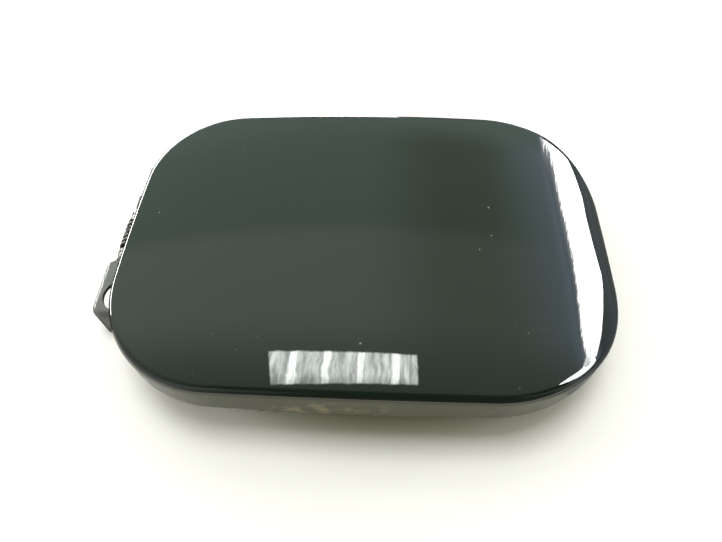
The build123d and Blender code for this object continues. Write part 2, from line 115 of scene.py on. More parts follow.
class FuelDoorSkinSizes(bpy.types.PropertyGroup):
    """Shape of the pressed door skin; its overall box comes from the frame."""

    front_left_radius: length("Front left corner", "Plan radius of the front left corner", 0.0413)
    front_right_radius: length("Front right corner", "Plan radius of the front right corner", 0.0469)
    back_right_radius: length("Back right corner", "Plan radius of the back right corner", 0.0419)
    back_left_radius: length("Back left corner", "Plan radius of the back left corner", 0.0347)
    front_bow: length("Front bow", "How far the front side bows out at its middle", 0.0027)
    right_bow: length("Right bow", "How far the right side bows out at its middle", 0.0012)
    back_bow: length("Back bow", "How far the back side bows out at its middle", 0.0001)
    left_bow: length("Left bow", "How far the left side bows out at its middle", 0.0017)
    crown_radius_x: length("Crown along X", "Radius of the face's crown along its length", 0.9)
    crown_radius_y: length("Crown along Y", "Radius of the face's crown across its width", 1.5)
    roll_radius: length("Roll radius", "Radius of the face where it rolls over at the right", 0.038)
    roll_width: length("Roll width", "Width of the rolled strip at the right", 0.020)
    edge_radius: length("Edge radius", "Radius between the face and the side wall", 0.0022)
    thickness: length("Sheet", "Thickness of the skin", 0.0008)
    hem_width: length("Hem width", "Width of the turned-in hem", 0.009)
    hem_bend: length("Hem bend", "Outer radius of the hem's bend", 0.001)


class FuelDoorSpringSizes(bpy.types.PropertyGroup):
    """Shape of the torsion spring round the hinge pin."""

    wire_radius: length("Wire radius", "Radius of the spring's wire", 0.0008)
    coil_radius: length("Coil radius", "Radius of the wire's centre line", 0.0043)
    pitch: length("Pitch", "Advance of the coil in one turn", 0.0020137)
    leg_length: length("Leg length", "Length of each straight leg", 0.010)
    upper_tilt: turn("Upper tilt", "How far the upper leg leans up to the arm's web", 6.777)
    lower_tilt: turn("Lower tilt", "How far the lower leg leans down to the base's foot", 4.969)
    turns: level("Turns", "Whole turns of the coil", 5.0)


class FuelDoorFinishes(bpy.types.PropertyGroup):
    """Colours of the finishes."""

    paint: tint("Body paint", "Dark green body paint under its clear coat", (0.0056, 0.0102, 0.0074))
    inner_paint: tint("Inner paint", "Thin body paint on the inner panel", (0.012, 0.021, 0.016))
    primer: tint("Bracket paint", "Dipped grey paint on the hinge's brackets", (0.081, 0.082, 0.079))
    zinc: tint("Zinc plate", "Plated steel of the pin, rivets and striker", (0.56, 0.55, 0.52))
    spring_steel: tint("Spring steel", "Black spring wire and clip", (0.055, 0.054, 0.052))
    oil: tint("Oil", "Brown oil on the spring wire and clip", (0.07, 0.045, 0.025))
    nylon: tint("Nylon", "Natural nylon of the bushes", (0.62, 0.59, 0.51))
    rubber: tint("Rubber", "Black rubber of the bumpers", (0.016, 0.016, 0.017))
    mastic: tint("Mastic", "Soft pads between the panels", (0.10, 0.095, 0.085))
    stain: tint("Polish stain", "Dried polish on the front wall", (0.42, 0.36, 0.16))
    dust: tint("Dust", "Pale dust on the paint", (0.36, 0.38, 0.36))
    # Painted light: the front wall's brown layer is partly dirt and partly a painted reflection of the
    # shaded table, and the grey haze at its ends is painted side light.
    film_and_painted_reflection: tint("Dirt film", "Brown film along the middle of the front wall", (0.165, 0.158, 0.070))
    haze: tint("Dust haze", "Grey haze at the ends of the front wall", (0.150, 0.149, 0.122))


class FuelDoorStage(bpy.types.PropertyGroup):
    """Camera, table and studio light, placed from the middle of the painted face."""

    focal_pixels: level("Focal length", "Camera's focal length in picture pixels", 557.0)
    camera_distance: length("Camera distance", "From the aim point to the camera", 0.1844)
    camera_rise: turn("Camera rise", "Camera's height above the horizon", 56.65)
    camera_swing: turn("Camera swing", "Camera's turn from the front towards the right", 4.76)
    camera_roll: turn("Camera roll", "Camera's turn about its own line of sight", -2.5)
    aim_x: length("Aim X", "Aim point from the face's middle, along X", -0.00101)
    aim_y: length("Aim Y", "Aim point from the face's middle, along Y", -0.0183)
    ceiling: length("Ceiling", "Height of the ceiling above the face", 1.5)
    key_power: level("Key power", "Watts of the lamp overhead", 12.0)
    sky_power: level("Sky power", "Watts of the broad soft lamp", 16.0)
    left_power: level("Left power", "Watts of the low lamp at the left", 5.6)
    right_power: level("Right power", "Watts of the low lamp at the right", 3.4)
    fill: tint("Fill light", "Warm light from the rest of the room", (0.19, 0.184, 0.094))
    table: tint("Table", "White of the table top", (0.90, 0.90, 0.89))


def settings():
    """The four groups of values kept on the scene."""
    scene = bpy.context.scene
    return scene.fuel_door_skin, scene.fuel_door_spring, scene.fuel_door_finishes, scene.fuel_door_stage


def ring_faces(rings, around):
    """Quads between each ring of points and the next, every ring closed on itself."""
    row = np.arange(rings - 1)[:, None] * around
    here = np.arange(around)[None, :]
    after = (here + 1) % around
    corners = (row + here, row + after, row + around + after, row + around + here)
    return np.stack(corners, axis=-1).reshape(-1, 4)


def cap_faces(pole, first, around, flip):
    """Triangles from one pole point to the ring that starts at index first."""
    here = first + np.arange(around)
    after = first + (np.arange(around) + 1) % around
    pair = (after, here) if flip else (here, after)
    return np.stack((np.full(around, pole), *pair), axis=-1)


def closed_tube(rings, start, end):
    """Points and faces of a stack of closed rings (rings, around, 3) with a pole point at each end."""
    count, around, _ = rings.shape
    points = np.concatenate((rings.reshape(-1, 3), [start, end]))
    last = count * around
    faces = ring_faces(count, around).tolist()
    faces += cap_faces(last, 0, around, True).tolist()
    faces += cap_faces(last + 1, last - around, around, False).tolist()
    return points, faces


def add_object(name, data):
    """A new object at the scene's origin."""
    made = bpy.data.objects.new(name, data)
    bpy.context.scene.collection.objects.link(made)
    return made


def make_piece(name, points, faces, slot):
    """A smooth mesh object in its slot's finish, with hard edges where two faces meet at a clear angle."""
    mesh = bpy.data.meshes.new(name)
    mesh.from_pydata(points.tolist(), [], faces)
    mesh.polygons.foreach_set("use_smooth", np.ones(len(mesh.polygons), dtype=bool))
    mesh.set_sharp_from_angle(angle=SHARP_ANGLE)
    mesh.materials.append(finish(slot))
    mesh.update()
    piece = add_object(name, mesh)
    return piece


def door_box(skin):
    """Middle of the painted face and half sizes of the plain outline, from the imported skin's box."""
    low, high = (np.array(corner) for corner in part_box("outer_panel"))
    left, right = low[0] + skin.left_bow, high[0] - skin.right_bow
    front, back = low[1] + skin.front_bow, high[1] - skin.back_bow
    middle = np.array(((left + right) / 2, (front + back) / 2, high[2]))
    return middle, (right - left) / 2, (back - front) / 2, low[2]


def outline_arcs(skin, half_x, half_y):
    """The eight arcs of the plan outline, anticlockwise, as centre, radius, first and last angle.

    Each side is the circle through two corners and a middle that bows out by b: R = (c * c + b * b) / 2b
    for a half chord c. Each corner is the circle of radius r that touches two sides from inside, so its
    centre lies R - r from the centres of both.
    """
    sides = []
    for half, reach, bow, angle in (
        (half_x, half_y, skin.front_bow, -np.pi / 2),
        (half_y, half_x, skin.right_bow, 0.0),
        (half_x, half_y, skin.back_bow, np.pi / 2),
        (half_y, half_x, skin.left_bow, np.pi),
    ):
        radius = (half**2 + bow**2) / (2 * bow)
        out = np.array((np.cos(angle), np.sin(angle)))
        sides.append((out * (reach + bow - radius), radius, angle))
    radii = (skin.front_left_radius, skin.front_right_radius, skin.back_right_radius, skin.back_left_radius)
    corners = []
    for index, radius in enumerate(radii):
        (one, one_radius, one_angle), (two, two_radius, two_angle) = sides[index - 1], sides[index]
        near, far = one_radius - radius, two_radius - radius
        apart = two - one
        gap = np.linalg.norm(apart)
        along = (near**2 - far**2 + gap**2) / (2 * gap)
        across = np.sqrt(near**2 - along**2)
        unit = apart / gap
        side = np.array((-unit[1], unit[0]))
        outward = np.array((np.cos(one_angle) + np.cos(two_angle), np.sin(one_angle) + np.sin(two_angle)))
        side = side if side @ outward > 0 else -side
        corners.append((one + unit * along + side * across, radius))
    arcs = []
    for index, (centre, radius, _) in enumerate(sides):
        before, after = corners[index][0], corners[(index + 1) % 4]
        first, last = (np.arctan2(*(place - centre)[::-1]) for place in (before, after[0]))
        arcs.append((centre, radius, first, last))
        following = sides[(index + 1) % 4][0]
        turned = np.arctan2(*(after[0] - following)[::-1])
        arcs.append((after[0], after[1], last, turned))
    return arcs


def outline_points(skin, half_x, half_y, side_steps=64, corner_steps=48):
    """Points of the plan outline about the door's middle, with their outward unit normals.

    On every arc the point is centre + R (cos a, sin a), and the normal is (cos a, sin a).
    """
    places, normals = [], []
    for index, (centre, radius, first, last) in enumerate(outline_arcs(skin, half_x, half_y)):
        span = (last - first) % (2 * np.pi)
        steps = corner_steps if index % 2 else side_steps
        angle = first + span * np.arange(steps) / steps
        normal = np.column_stack((np.cos(angle), np.sin(angle)))
        places.append(centre + radius * normal)
        normals.append(normal)
    return np.concatenate(places), np.concatenate(normals)


def crown_surface(skin, half_x, plan, inset):
    """Depth under the crown's top and unit normal of the face, drawn in by inset.

    Along X the profile is an arc of the crown radius that runs tangent into the roll's arc. The profile is
    swept about an axis along X that lies a crown radius below the top: z = sqrt(p(x)^2 - y^2) - Ry.
    """
    tilt = (half_x - skin.roll_width) / skin.crown_radius_x
    drop = skin.crown_radius_x - skin.roll_radius
    x, y = plan[..., 0], plan[..., 1]
    rolled = x > (skin.crown_radius_x - inset) * np.sin(tilt)
    centre_x = np.where(rolled, drop * np.sin(tilt), 0.0)
    centre_z = np.where(rolled, drop * np.cos(tilt), 0.0) - skin.crown_radius_x
    radius = np.where(rolled, skin.roll_radius, skin.crown_radius_x) - inset
    sine = np.clip((x - centre_x) / radius, -1, 1)
    cosine = np.sqrt(1 - sine**2)
    reach = centre_z + radius * cosine + skin.crown_radius_y
    height = np.sqrt(reach**2 - y**2)
    normal = np.stack((sine, cosine * y / reach, cosine * height / reach), axis=-1)
    return height - skin.crown_radius_y, normal


def stack_plan(plan, heights):
    """Plan points with one height each, as 3-D points."""
    return np.concatenate((plan, heights[..., None]), axis=-1)


# How many rings each stretch of the skin has, and how many face rings the inner side takes as one
FACE_RINGS = 96
BEND_RINGS = 11
WALL_RINGS = 9
HEM_RINGS = 5
INNER_WALL_RINGS = 7
INNER_FACE_STEP = 4


def door_skin_rings(skin):
    """Rings of the whole skin from the middle of its face, over the edge, round the hem and back inside.

    A ball of the edge radius rolls inside the corner of face and wall; its middle is drawn in by that
    radius from both. The edge is middle + r d, where d turns evenly from the face's normal to the wall's.
    The inner side of the sheet has the same ball middle with r less the sheet. Each ring's points also get
    their share of wall: none on the face, rising over the edge, and all below it.
    """
    middle, half_x, half_y, hem_z = door_box(skin)
    edge, wall = outline_points(skin, half_x, half_y)
    wall_out = np.concatenate((wall, np.zeros((len(wall), 1))), axis=-1)
    ball_plan = edge - skin.edge_radius * wall
    ball_depth, face_out = crown_surface(skin, half_x, ball_plan, skin.edge_radius)
    ball = stack_plan(ball_plan, ball_depth)
    bend = np.arccos(np.clip((face_out * wall_out).sum(-1), -1, 1))[:, None]

    def rounded(radius, share):
        share = share[:, None, None]
        lean = np.sin((1 - share) * bend) * face_out + np.sin(share * bend) * wall_out
        return ball + radius * lean / np.sin(bend)

    def face(radius, inset, share):
        rim = (ball + radius * face_out)[:, :2]
        plan = share[:, None, None] * rim
        return stack_plan(plan, crown_surface(skin, half_x, plan, inset)[0])

    def upright(inset, low, high, steps):
        plan = np.broadcast_to(edge - inset * wall, (steps, *edge.shape))
        return stack_plan(plan, low + (high - low) * np.linspace(0, 1, steps)[:, None])

    def level_run(insets, depth):
        plan = edge - insets[:, None, None] * wall
        return stack_plan(plan, np.full(plan.shape[:2], depth))

    def hem_turn(share):
        angle = (share * np.pi / 2)[:, None]
        insets = skin.hem_bend * (1 - np.cos(angle))
        plan = edge - insets[..., None] * wall
        depth = np.broadcast_to(under + skin.hem_bend * (1 - np.sin(angle)), plan.shape[:2])
        return stack_plan(plan, depth)

    under = hem_z - middle[2]
    sheet = skin.thickness
    inner = skin.edge_radius - sheet
    out_share = np.arange(1, FACE_RINGS + 1) / FACE_RINGS
    turn_share = np.linspace(0, 1, BEND_RINGS)
    top_of_wall = np.broadcast_to(ball_depth, edge.shape[:1])
    rings = (
        face(skin.edge_radius, 0.0, out_share),
        rounded(skin.edge_radius, turn_share[1:]),
        upright(0.0, top_of_wall, under + skin.hem_bend, WALL_RINGS)[1:],
        hem_turn(turn_share[1:]),
        level_run(np.linspace(skin.hem_bend, skin.hem_width, HEM_RINGS)[1:], under),
        level_run(np.linspace(skin.hem_width, sheet, HEM_RINGS), under + sheet),
        upright(sheet, under + sheet, top_of_wall, INNER_WALL_RINGS)[1:],
        rounded(inner, turn_share[::-1])[1:],
        face(inner, sheet, out_share[::-INNER_FACE_STEP])[1:],
    )
    stacked = np.concatenate(rings) + middle
    shares = (np.zeros(len(out_share)), turn_share[1:] ** 3, np.ones(sum(len(part) for part in rings[2:])))
    wall_share = np.repeat(np.concatenate(shares), len(edge))
    below = middle - np.array((0, 0, sheet))
    return stacked, middle, below, np.append(wall_share, (0.0, 1.0))


def spring_rings(spring, pin, around=20, turn_steps=56, leg_steps=6):
    """Rings of the spring's wire: a straight leg, the coil, and a straight leg, all on one smooth line.

    The coil's centre line is pin + R (cos a, 0, sin a) with y falling by the pitch each turn. Each leg runs
    on along the coil's tangent, and the wire's circle is carried along, square to that line.
    """
    first = np.pi / 2 + spring.upper_tilt
    sweep = 2 * np.pi * spring.turns + np.pi - spring.upper_tilt - spring.lower_tilt
    coil_length = spring.pitch * sweep / (2 * np.pi)
    angle = first + sweep * np.linspace(0, 1, int(turn_steps * sweep / (2 * np.pi)))
    out = np.stack((np.cos(angle), np.zeros_like(angle), np.sin(angle)), axis=-1)
    fall = coil_length / 2 - spring.pitch * (angle - first) / (2 * np.pi)
    coil = pin + spring.coil_radius * out + fall[:, None] * np.array((0, 1, 0))
    slope = spring.pitch / (2 * np.pi * spring.coil_radius)
    along = np.stack((-np.sin(angle), np.full_like(angle, -slope), np.cos(angle)), axis=-1)
    along /= np.linalg.norm(along, axis=-1, keepdims=True)
    run = spring.leg_length * np.linspace(1, 0, leg_steps, endpoint=False)[:, None]
    path = np.concatenate((coil[0] - run * along[0], coil, coil[-1] + run[::-1] * along[-1]))
    last = len(coil) - 1
    repeats = np.concatenate((np.zeros(leg_steps, int), np.arange(last + 1), np.full(leg_steps, last)))
    out, along = out[repeats], along[repeats]
    across = np.cross(along, out)
    circle = np.linspace(0, 2 * np.pi, around, endpoint=False)[None, :, None]
    ring = np.cos(circle) * out[:, None] + np.sin(circle) * across[:, None]
    return path[:, None] + spring.wire_radius * ring, path[0], path[-1], coil_length


def turned_rings(profile, place, around=40):
    """Rings of a turned piece: each profile point (r, z) goes round the upright axis through place."""
    angle = np.linspace(0, 2 * np.pi, around, endpoint=False)
    radius, height = np.asarray(profile).T
    ring = np.stack((np.cos(angle), np.sin(angle), np.zeros(around)), axis=-1)
    rise = np.array((0, 0, 1)) * height[:, None, None]
    return np.asarray((*place, 0.0)) + radius[:, None, None] * ring + rise


def quarter_round(centre, radius_r, radius_z, first, last, steps=8):
    """Profile points on an ellipse about centre (r, z), between two angles in degrees."""
    angle = np.radians(np.linspace(first, last, steps))
    return np.column_stack((centre[0] + radius_r * np.cos(angle), centre[1] + radius_z * np.sin(angle)))


def joined(parts):
    """One list of points and faces from several closed tubes."""
    points, faces, start = [], [], 0
    for part_points, part_faces in parts:
        points.append(part_points)
        faces += [[index + start for index in face] for face in part_faces]
        start += len(part_points)
    return np.concatenate(points), faces


def set_sockets(node, values):
    """Sets constants on a node's inputs and links what varies over the surface."""
    tree = node.id_data
    for key, value in values.items():
        if isinstance(value, bpy.types.NodeSocket):
            tree.links.new(value, node.inputs[key])
        else:
            node.inputs[key].default_value = value


def add_node(tree, kind, inputs=None, **choices):
    """A shader node with its choices set and its inputs given as values or linked sockets."""
    made = tree.nodes.new(kind)
    for key, value in choices.items():
        setattr(made, key, value)
    set_sockets(made, inputs or {})
    return made


def mix_colours(tree, share, one, two):
    """A colour between two colours, by a share from 0 to 1."""
    mixed = add_node(tree, "ShaderNodeMix", {0: share, 6: one, 7: two}, data_type="RGBA")
    return mixed.outputs[2]


def smooth_step(tree, value, low, high, at_low=0.0, at_high=1.0):
    """A value carried smoothly from one level to another between two limits."""
    limits = {"Value": value, "From Min": low, "From Max": high, "To Min": at_low, "To Max": at_high}
    return add_node(tree, "ShaderNodeMapRange", limits, interpolation_type="SMOOTHSTEP").outputs["Result"]


def combine(tree, operation, *values):
    """One number from one or more others."""
    return add_node(tree, "ShaderNodeMath", dict(enumerate(values)), operation=operation).outputs[0]


def product(tree, first, *others):
    """Several numbers multiplied together."""
    for other in others:
        first = combine(tree, "MULTIPLY", first, other)
    return first


def combine_vectors(tree, operation, one, two):
    """The two outputs of a node that combines two vectors: a vector, and a number."""
    return add_node(tree, "ShaderNodeVectorMath", {0: one, 1: two}, operation=operation).outputs


def axes_of(tree, vector):
    """The three numbers of a vector."""
    return add_node(tree, "ShaderNodeSeparateXYZ", {0: vector}).outputs


def object_coordinates(tree):
    """The piece's own coordinates, in metres."""
    return add_node(tree, "ShaderNodeTexCoord").outputs["Object"]


def noise(tree, vector, scale, detail=3.0, roughness=0.5):
    """Even noise from 0 to 1, with so many features in a metre."""
    inputs = {"Vector": vector, "Scale": scale, "Detail": detail, "Roughness": roughness}
    return add_node(tree, "ShaderNodeTexNoise", inputs).outputs["Fac"]


def bump(tree, height, depth):
    """A normal that follows a height from 0 to 1, with a depth in metres."""
    return add_node(tree, "ShaderNodeBump", {"Height": height, "Distance": depth}).outputs["Normal"]


def opaque(colour):
    """A property's colour with full alpha."""
    return (*colour, 1.0)


def scaled(colour, factor):
    """A property's colour made lighter or darker."""
    return (*(min(channel * factor, 1.0) for channel in colour), 1.0)


def new_finish(name):
    """An empty principled material, its tree and its shader."""
    material = bpy.data.materials.new(f"{name}_finish")
    material.use_nodes = True
    return material, material.node_tree, material.node_tree.nodes["Principled BSDF"]


# Dust grains on the face: place from its middle along X and Y, radius, and how dense each is
DUST_GRAINS = (
    (0.0433, 0.0110, 0.00042, 0.62),
    (0.0433, -0.0016, 0.00034, 0.45),
    (0.0388, -0.0078, 0.00030, 0.62),
    (-0.0764, 0.0072, 0.00036, 0.42),
    (0.0000, -0.0444, 0.00040, 0.62),
    (-0.0467, -0.0420, 0.00026, 0.28),
    (-0.0381, -0.0474, 0.00036, 0.10),
    (-0.0322, -0.0429, 0.00030, 0.10),
    (-0.0504, -0.0553, 0.00030, 0.12),
    (0.0570, -0.0368, 0.00032, 0.09),
    (0.0519, -0.0385, 0.00030, 0.28),
    (0.0482, -0.0350, 0.00030, 0.08),
    (-0.0498, 0.0393, 0.00030, 0.16),
    (0.0472, -0.0565, 0.00034, 0.16),
)
GRAIN_RAGGEDNESS = 0.0003
GRAIN_SOFT_EDGE = 0.00018


def dust_cover(tree, place, axes):
    """How densely dust covers each point: round grains with ragged edges, on the face alone."""
    plan = add_node(tree, "ShaderNodeCombineXYZ", {0: axes[0], 1: axes[1]}).outputs[0]
    ragged = product(tree, noise(tree, place, scale=3000.0, detail=1.0), GRAIN_RAGGEDNESS)
    cover = 0.0
    for x, y, radius, density in DUST_GRAINS:
        away = combine_vectors(tree, "DISTANCE", plan, (x, y, 0.0))[1]
        edge = combine(tree, "ADD", away, ragged)
        grain = smooth_step(tree, edge, radius, radius + GRAIN_SOFT_EDGE, density, 0.0)
        cover = combine(tree, "MAXIMUM", cover, grain)
    facing = smooth_step(tree, axes[2], -0.012, -0.008)
    return product(tree, cover, facing)


def polish_cover(tree, place, axes, half_y):
    """How densely dried polish covers each point: blots low on the front wall, left of its middle."""
    front = smooth_step(tree, axes[1], -half_y + 0.006, -half_y + 0.001)
    low = smooth_step(tree, axes[2], -0.0035, -0.0075)
    left_end = smooth_step(tree, axes[0], -0.032, -0.022)
    right_end = smooth_step(tree, axes[0], 0.016, -0.004)
    blots = noise(tree, place, scale=190.0, detail=3.0, roughness=0.55)
    patches = smooth_step(tree, blots, 0.42, 0.72, 0.0, 0.42)
    return product(tree, front, low, left_end, right_end, patches)


def body_paint(colours, middle, half_y):
    """Dark paint under clear coat with orange peel, dust and dried polish; the front wall's brown layer is
    part dirt, part painted reflection, paled at its ends as painted side light.
    """
    material, tree, shader = new_finish("body_paint")
    place = object_coordinates(tree)
    axes = axes_of(tree, combine_vectors(tree, "SUBTRACT", place, middle)[0])
    flake = noise(tree, place, scale=5200.0, detail=1.0)
    drift = noise(tree, place, scale=22.0, detail=2.0)
    colour = mix_colours(tree, flake, scaled(colours.paint, 0.72), scaled(colours.paint, 1.3))
    bloom = smooth_step(tree, drift, 0.35, 0.75, 0.0, 0.10)
    colour = mix_colours(tree, bloom, colour, scaled(colours.paint, 3.0))
    wall = add_node(tree, "ShaderNodeAttribute", attribute_name="wall").outputs["Fac"]
    wall = product(tree, wall, smooth_step(tree, axes[1], -0.024, -0.046))
    # Painted light: along the middle of the front wall the brown layer is partly dirt and partly a painted
    # reflection of the shaded table; towards both ends it thickens and pales to grey as painted side light.
    painted_side_light = smooth_step(tree, combine(tree, "ABSOLUTE", axes[0]), 0.030, 0.068)
    streaks = noise(tree, place, scale=75.0, detail=4.0, roughness=0.6)
    settled = smooth_step(tree, streaks, 0.25, 0.75, 0.72, 1.0)
    thickness = smooth_step(tree, painted_side_light, 0.0, 1.0, 0.44, 0.85)
    # This grime is the brown layer with its painted reflection and painted side light, not dirt alone.
    grime = mix_colours(tree, painted_side_light, opaque(colours.film_and_painted_reflection), opaque(colours.haze))
    colour = mix_colours(tree, product(tree, wall, settled, thickness), colour, grime)
    polish = polish_cover(tree, place, axes, half_y)
    colour = mix_colours(tree, polish, colour, opaque(colours.stain))
    dust = dust_cover(tree, place, axes)
    colour = mix_colours(tree, dust, colour, opaque(colours.dust))
    dull = combine(tree, "MAXIMUM", product(tree, polish, 0.8), dust)
    peel = noise(tree, place, scale=210.0, detail=2.0, roughness=0.45)
    coat = bump(tree, peel, depth=0.0000035)
    set_sockets(
        shader,
        {
            "Base Color": colour,
            "Roughness": smooth_step(tree, dull, 0.0, 1.0, 0.42, 0.8),
            "Specular IOR Level": 0.0,
            "Coat Weight": smooth_step(tree, wall, 0.0, 1.0, 1.0, 0.5),
            "Coat Roughness": 0.012,
            "Coat Normal": coat,
            "Normal": coat,
        },
    )
    return material


def inner_paint(colours):
    """Thin satin body paint on the inner panel, with overspray and a haze from handling."""
    material, tree, shader = new_finish("inner_paint")
    place = object_coordinates(tree)
    spray = noise(tree, place, scale=1900.0, detail=2.0)
    haze = noise(tree, place, scale=35.0, detail=4.0, roughness=0.6)
    colour = mix_colours(tree, spray, scaled(colours.inner_paint, 0.75), scaled(colours.inner_paint, 1.5))
    hazed = smooth_step(tree, haze, 0.45, 0.8, 0.0, 0.30)
    colour = mix_colours(tree, hazed, colour, opaque(colours.mastic))
    set_sockets(
        shader,
        {
            "Base Color": colour,
            "Roughness": smooth_step(tree, haze, 0.3, 0.75, 0.26, 0.46),
            "Specular IOR Level": 0.4,
            "Coat Weight": 0.35,
            "Coat Roughness": 0.10,
            "Normal": bump(tree, spray, depth=0.00002),
        },
    )
    return material


def bracket_paint(colours):
    """Dipped paint on folded steel: soft gloss with fine dimples, lighter where rubbed, and lighter low down
    as a painted reflection of the white table.
    """
    material, tree, shader = new_finish("bracket_paint")
    place = object_coordinates(tree)
    dimples = noise(tree, place, scale=900.0, detail=3.0)
    rubbed = noise(tree, place, scale=120.0, detail=5.0, roughness=0.65)
    colour = mix_colours(tree, dimples, scaled(colours.primer, 0.82), scaled(colours.primer, 1.2))
    worn = smooth_step(tree, rubbed, 0.62, 0.78, 0.0, 0.35)
    colour = mix_colours(tree, worn, colour, scaled(colours.primer, 3.2))
    # Painted reflection: the lower walls are lightened as if they mirrored the white table.
    height = axes_of(tree, place)[2]
    low = smooth_step(tree, height, -0.0022, -0.0075, 0.0, 0.42)
    colour = mix_colours(tree, low, colour, scaled(colours.primer, 2.4))
    set_sockets(
        shader,
        {
            "Base Color": colour,
            "Roughness": smooth_step(tree, rubbed, 0.3, 0.8, 0.36, 0.52),
            "Specular IOR Level": 0.5,
            "Normal": bump(tree, dimples, depth=0.000025),
        },
    )
    return material


def plated_steel(colours):
    """Zinc plate: bright metal with a cloudy spangle, fine scratches and dull spots."""
    material, tree, shader = new_finish("plated_steel")
    place = object_coordinates(tree)
    cells = add_node(tree, "ShaderNodeTexVoronoi", {"Vector": place, "Scale": 420.0}).outputs["Color"]
    spangle = add_node(tree, "ShaderNodeSeparateColor", {0: cells}).outputs[0]
    stretched = add_node(tree, "ShaderNodeMapping", {"Vector": place, "Scale": (1.0, 1.0, 14.0)}).outputs[0]
    scratches = noise(tree, stretched, scale=900.0, detail=2.0)
    spots = noise(tree, place, scale=260.0, detail=4.0, roughness=0.6)
    colour = mix_colours(tree, spangle, scaled(colours.zinc, 0.86), scaled(colours.zinc, 1.08))
    dulled = smooth_step(tree, spots, 0.6, 0.75, 0.0, 0.45)
    colour = mix_colours(tree, dulled, colour, scaled(colours.zinc, 0.45))
    set_sockets(
        shader,
        {
            "Base Color": colour,
            "Metallic": 1.0,
            "Roughness": smooth_step(tree, spots, 0.3, 0.75, 0.26, 0.5),
            "Normal": bump(tree, scratches, depth=0.000012),
        },
    )
    return material


def spring_steel(colours):
    """Oiled drawn wire: dark metal with fine marks and a little brown in the oil."""
    material, tree, shader = new_finish("spring_steel")
    place = object_coordinates(tree)
    drawn = noise(tree, place, scale=2600.0, detail=2.0)
    oil = noise(tree, place, scale=330.0, detail=3.0)
    colour = mix_colours(tree, drawn, scaled(colours.spring_steel, 0.75), scaled(colours.spring_steel, 1.3))
    brown = smooth_step(tree, oil, 0.55, 0.75, 0.0, 0.5)
    colour = mix_colours(tree, brown, colour, opaque(colours.oil))
    set_sockets(
        shader,
        {
            "Base Color": colour,
            "Metallic": 1.0,
            "Roughness": smooth_step(tree, oil, 0.3, 0.7, 0.5, 0.66),
            "Normal": bump(tree, drawn, depth=0.000008),
        },
    )
    return material


def nylon(colours):
    """Natural nylon: cream, with a little light scattered inside it, a faint moulded grain and grime."""
    material, tree, shader = new_finish("nylon")
    place = object_coordinates(tree)
    grain = noise(tree, place, scale=1400.0, detail=2.0)
    grime = noise(tree, place, scale=300.0, detail=4.0)
    colour = mix_colours(tree, grain, scaled(colours.nylon, 0.92), scaled(colours.nylon, 1.05))
    dirty = smooth_step(tree, grime, 0.55, 0.8, 0.0, 0.4)
    colour = mix_colours(tree, dirty, colour, scaled(colours.nylon, 0.4))
    set_sockets(
        shader,
        {
            "Base Color": colour,
            "Roughness": smooth_step(tree, grime, 0.3, 0.8, 0.36, 0.55),
            "Subsurface Weight": 0.15,
            "Subsurface Scale": 0.001,
            "Normal": bump(tree, grain, depth=0.00002),
        },
    )
    return material


def rubber(colours):
    """Black rubber with a fine moulded grain and a grey bloom."""
    material, tree, shader = new_finish("rubber")
    place = object_coordinates(tree)
    grain = noise(tree, place, scale=2400.0, detail=3.0)
    bloom = noise(tree, place, scale=190.0, detail=4.0)
    greyed = smooth_step(tree, bloom, 0.4, 0.75, 0.0, 0.5)
    colour = mix_colours(tree, greyed, opaque(colours.rubber), scaled(colours.rubber, 3.5))
    set_sockets(
        shader,
        {
            "Base Color": colour,
            "Roughness": smooth_step(tree, bloom, 0.3, 0.75, 0.55, 0.8),
            "Specular IOR Level": 0.35,
            "Normal": bump(tree, grain, depth=0.00004),
        },
    )
    return material


def mastic(colours):
    """Soft sealing pads: matt, lumpy and unevenly coloured."""
    material, tree, shader = new_finish("mastic")
    place = object_coordinates(tree)
    lumps = noise(tree, place, scale=500.0, detail=4.0)
    colour = mix_colours(tree, lumps, scaled(colours.mastic, 0.7), scaled(colours.mastic, 1.35))
    set_sockets(shader, {"Base Color": colour, "Roughness": 0.85, "Normal": bump(tree, lumps, depth=0.0001)})
    return material


def finish(name):
    """The named finish, made the first time that it is asked for."""
    made = bpy.data.materials.get(f"{name}_finish")
    if made:
        return made
    skin, _, colours, _ = settings()
    if name == "body_paint":
        middle, _, half_y, _ = door_box(skin)
        return body_paint(colours, middle, half_y + skin.front_bow)
    makers = {
        "inner_paint": inner_paint,
        "bracket_paint": bracket_paint,
        "plated_steel": plated_steel,
        "spring_steel": spring_steel,
        "nylon": nylon,
        "rubber": rubber,
        "mastic": mastic,
    }
    return makers[name](colours)


class FUELDOOR_OT_skin(bpy.types.Operator):
    """Make the pressed and painted door skin"""

    bl_idname = "fuel_door.skin"
    bl_label = "Door Skin"

    def execute(self, context):
        skin = settings()[0]
        rings, top, below, wall_share = door_skin_rings(skin)
        points, faces = closed_tube(rings, top, below)
        outward = [face[::-1] for face in faces]
        piece = make_piece("door_skin", points, outward, "body_paint")
        wall = piece.data.attributes.new("wall", "FLOAT", "POINT")
        wall.data.foreach_set("value", wall_share)
        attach(piece, "door")
        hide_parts("outer_panel")
        return {"FINISHED"}


class FUELDOOR_OT_spring(bpy.types.Operator):
    """Make the torsion spring round the hinge pin"""

    bl_idname = "fuel_door.spring"
    bl_label = "Torsion Spring"

    def execute(self, context):
        spring = settings()[1]
        pin = np.array(frame["joints"][0]["pos_m"])
        rings, first, last, coil_length = spring_rings(spring, pin)
        points, faces = closed_tube(rings, first, last)
        piece = make_piece("coil_spring", points, faces, "spring_steel")
        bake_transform(piece)
        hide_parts("torsion_spring")
        return {"FINISHED"}


